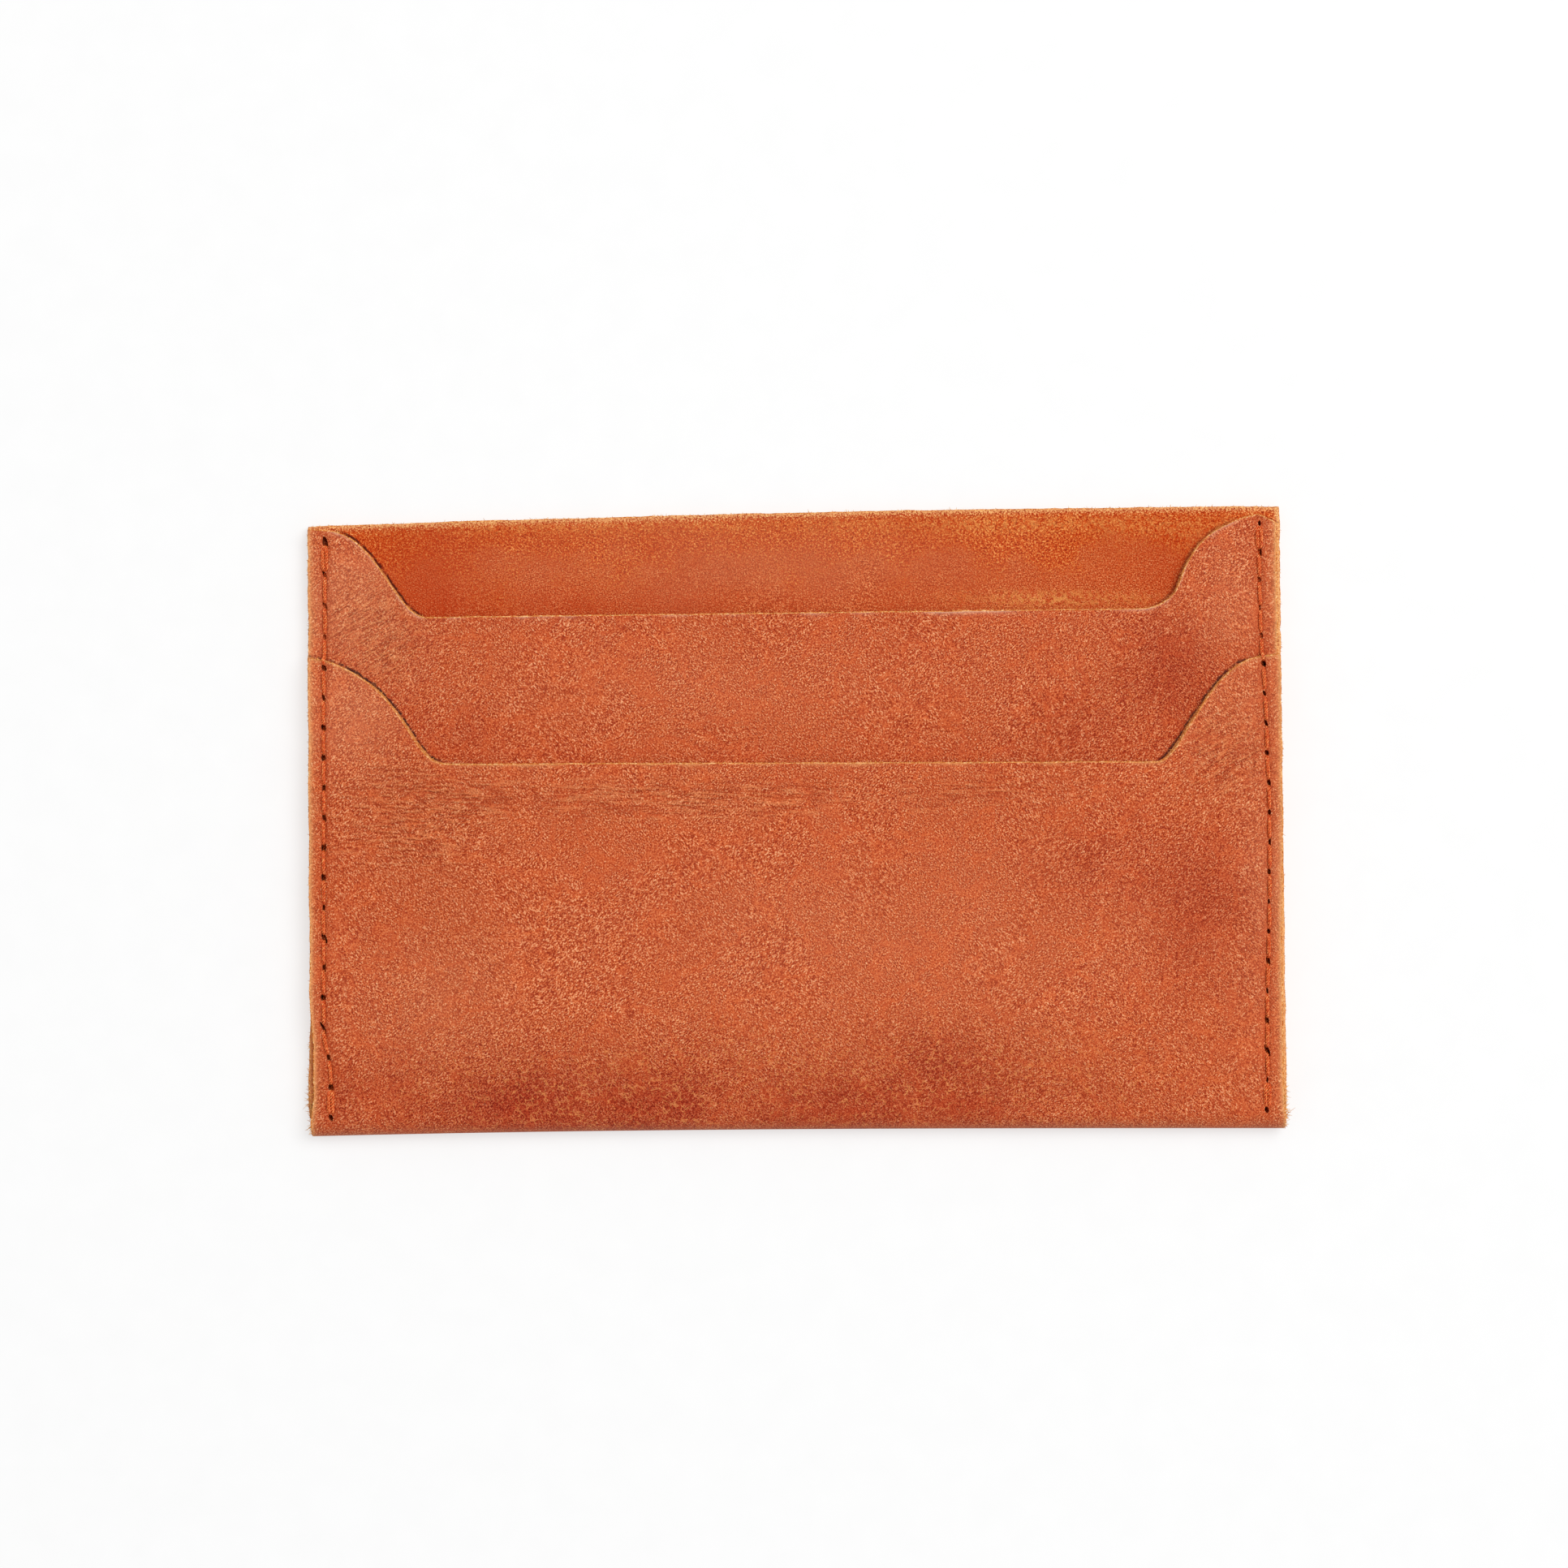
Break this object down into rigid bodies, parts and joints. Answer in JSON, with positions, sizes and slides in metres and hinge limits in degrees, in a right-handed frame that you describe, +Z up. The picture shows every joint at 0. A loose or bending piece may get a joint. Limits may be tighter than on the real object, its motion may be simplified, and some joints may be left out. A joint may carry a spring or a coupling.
{
  "type": "card holder",
  "caption": "Slim leather card holder: a folded strip forms the back and front pocket, a second pocket panel sits inside, and both sides are stitched.",
  "frame": {"origin": "centre of the back's outer face, on the surface the holder lies on", "axes": "+X along the width to the right side seam, +Y from the fold to the pocket mouths, +Z up through the layers, out of the front pocket"},
  "size_m": [0.1, 0.0644, 0.0053],
  "materials": {
    "outer_leather": "matte",
    "pocket_leather": "matte",
    "sewing_thread": "satin"
  },
  "bodies": {
    "root": {"outer_panel": "outer_leather", "inner_pocket_panel": "pocket_leather", "left_needle_thread": "sewing_thread", "left_bobbin_thread": "sewing_thread", "right_needle_thread": "sewing_thread", "right_bobbin_thread": "sewing_thread"}
  },
  "joints": []
}
